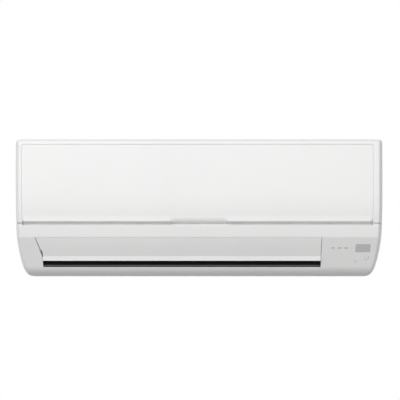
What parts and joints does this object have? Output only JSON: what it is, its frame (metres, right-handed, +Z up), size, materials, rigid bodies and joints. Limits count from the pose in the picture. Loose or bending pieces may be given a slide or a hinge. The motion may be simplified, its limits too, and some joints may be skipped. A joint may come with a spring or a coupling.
{
  "type": "mini split indoor unit",
  "caption": "Wall-hung indoor unit of a split air conditioner: swing-up front panel, air filters, coil, cross-flow fan, swinging outlet flap and vanes, on a steel wall plate.",
  "frame": {"origin": "middle of the mounting plate's back face, where it lies on the wall", "axes": "+X to the right along the wall as seen from the room, +Y into the wall, +Z up"},
  "size_m": [0.77, 0.205, 0.29],
  "materials": {
    "white_casing": "satin moulded white",
    "inner_plastic": "plain moulded",
    "black_plastic": "fine matt",
    "grey_plastic": "plain moulded",
    "lens_plastic": "smoked, polished",
    "filter_net": "woven net in a moulded rim",
    "rubber": "moulded",
    "circuit_board": "soldermask",
    "zinc_steel": "zinc plated sheet",
    "fin_aluminium": "thin bare fins",
    "copper": "drawn copper tube",
    "brass": "machined"
  },
  "bodies": {
    "casing": {"front_frame": "white_casing", "intake_grille": "white_casing", "display_window": "lens_plastic", "lamp_lens_1": "lens_plastic", "lamp_lens_2": "lens_plastic", "lamp_lens_3": "lens_plastic", "display_board": "circuit_board", "frame_screw_cap": "white_casing", "mounting_plate": "zinc_steel", "rear_chassis": "inner_plastic", "fan_motor": "zinc_steel", "motor_ring_left": "rubber", "motor_ring_right": "rubber", "motor_clamp": "zinc_steel", "fan_bearing": "rubber", "drain_pan": "black_plastic", "flap_centre_bracket": "black_plastic", "flap_bush": "grey_plastic", "flap_motor": "zinc_steel", "lower_fin_block": "fin_aluminium", "upper_fin_block": "fin_aluminium", "rear_fin_block": "fin_aluminium", "coil_tubes": "copper", "coil_plate_left": "fin_aluminium", "coil_plate_right": "fin_aluminium", "gas_pipe": "copper", "liquid_pipe": "copper", "gas_flare_nut": "brass", "liquid_flare_nut": "brass", "pipe_clamp": "grey_plastic", "drain_plug": "rubber", "air_filter_left": "filter_net", "air_filter_right": "filter_net", "control_box": "grey_plastic", "control_box_cover": "zinc_steel", "main_circuit_board": "circuit_board", "terminal_block": "black_plastic", "frame_screw": "zinc_steel"},
    "front_panel": {"front_panel": "white_casing"},
    "main_flap": {"main_flap": "white_casing"},
    "fan": {"cross_flow_fan": "black_plastic", "motor_shaft": "zinc_steel", "fan_stub_shaft": "zinc_steel"},
    "auto_button": {"auto_button": "white_casing"},
    "vane_bar_left": {"vane_bar_left": "black_plastic"},
    "vane_bar_right": {"vane_bar_right": "black_plastic"},
    "vane_1": {"vane_1": "black_plastic"},
    "vane_2": {"vane_2": "black_plastic"},
    "vane_3": {"vane_3": "black_plastic"},
    "vane_4": {"vane_4": "black_plastic"},
    "vane_5": {"vane_5": "black_plastic"},
    "vane_6": {"vane_6": "black_plastic"},
    "vane_7": {"vane_7": "black_plastic"},
    "vane_8": {"vane_8": "black_plastic"},
    "vane_9": {"vane_9": "black_plastic"},
    "vane_10": {"vane_10": "black_plastic"}
  },
  "joints": [
    {"name": "panel_hinge", "type": "hinge", "parent": "casing", "child": "front_panel", "pos_m": [0, -0.1982, 0.1302], "axis": [-1, 0, 0], "range_deg": [0, 62]},
    {"name": "flap_hinge", "type": "hinge", "parent": "casing", "child": "main_flap", "pos_m": [0, -0.157, -0.095], "axis": [1, 0, 0], "range_deg": [0, 75]},
    {"name": "fan_spin", "type": "hinge", "parent": "casing", "child": "fan", "pos_m": [0, -0.092, -0.017], "axis": [1, 0, 0], "continuous": true},
    {"name": "auto_button_press", "type": "slide", "parent": "casing", "child": "auto_button", "axis": [0, 0.8831, 0.4692], "range_m": [0, 0.0012], "stiffness_N_per_m": 400, "springref_m": -0.0005},
    {"name": "vane_bar_left_slide", "type": "slide", "parent": "casing", "child": "vane_bar_left", "axis": [1, 0, 0], "range_m": [-0.00628, 0.00628]},
    {"name": "vane_bar_right_slide", "type": "slide", "parent": "casing", "child": "vane_bar_right", "axis": [1, 0, 0], "range_m": [-0.00628, 0.00628]},
    {"name": "vane_1_swing", "type": "hinge", "parent": "casing", "child": "vane_1", "pos_m": [-0.287, -0.119, -0.10291], "axis": [0, -0.4147, 0.91], "range_deg": [-30.1, 30.1]},
    {"name": "vane_2_swing", "type": "hinge", "parent": "casing", "child": "vane_2", "pos_m": [-0.231, -0.119, -0.10291], "axis": [0, -0.4147, 0.91], "range_deg": [-30.1, 30.1]},
    {"name": "vane_3_swing", "type": "hinge", "parent": "casing", "child": "vane_3", "pos_m": [-0.175, -0.119, -0.10291], "axis": [0, -0.4147, 0.91], "range_deg": [-30.1, 30.1]},
    {"name": "vane_4_swing", "type": "hinge", "parent": "casing", "child": "vane_4", "pos_m": [-0.119, -0.119, -0.10291], "axis": [0, -0.4147, 0.91], "range_deg": [-30.1, 30.1]},
    {"name": "vane_5_swing", "type": "hinge", "parent": "casing", "child": "vane_5", "pos_m": [-0.063, -0.119, -0.10291], "axis": [0, -0.4147, 0.91], "range_deg": [-30.1, 30.1]},
    {"name": "vane_6_swing", "type": "hinge", "parent": "casing", "child": "vane_6", "pos_m": [-0.007, -0.119, -0.10291], "axis": [0, -0.4147, 0.91], "range_deg": [-30.1, 30.1]},
    {"name": "vane_7_swing", "type": "hinge", "parent": "casing", "child": "vane_7", "pos_m": [0.049, -0.119, -0.10291], "axis": [0, -0.4147, 0.91], "range_deg": [-30.1, 30.1]},
    {"name": "vane_8_swing", "type": "hinge", "parent": "casing", "child": "vane_8", "pos_m": [0.105, -0.119, -0.10291], "axis": [0, -0.4147, 0.91], "range_deg": [-30.1, 30.1]},
    {"name": "vane_9_swing", "type": "hinge", "parent": "casing", "child": "vane_9", "pos_m": [0.161, -0.119, -0.10291], "axis": [0, -0.4147, 0.91], "range_deg": [-30.1, 30.1]},
    {"name": "vane_10_swing", "type": "hinge", "parent": "casing", "child": "vane_10", "pos_m": [0.217, -0.119, -0.10291], "axis": [0, -0.4147, 0.91], "range_deg": [-30.1, 30.1]}
  ],
  "couplings": [
    {"joint": "vane_1_swing", "follows": "vane_bar_left_slide", "rad_per_m": -83.333},
    {"joint": "vane_2_swing", "follows": "vane_bar_left_slide", "rad_per_m": -83.333},
    {"joint": "vane_3_swing", "follows": "vane_bar_left_slide", "rad_per_m": -83.333},
    {"joint": "vane_4_swing", "follows": "vane_bar_left_slide", "rad_per_m": -83.333},
    {"joint": "vane_5_swing", "follows": "vane_bar_left_slide", "rad_per_m": -83.333},
    {"joint": "vane_6_swing", "follows": "vane_bar_right_slide", "rad_per_m": -83.333},
    {"joint": "vane_7_swing", "follows": "vane_bar_right_slide", "rad_per_m": -83.333},
    {"joint": "vane_8_swing", "follows": "vane_bar_right_slide", "rad_per_m": -83.333},
    {"joint": "vane_9_swing", "follows": "vane_bar_right_slide", "rad_per_m": -83.333},
    {"joint": "vane_10_swing", "follows": "vane_bar_right_slide", "rad_per_m": -83.333}
  ]
}
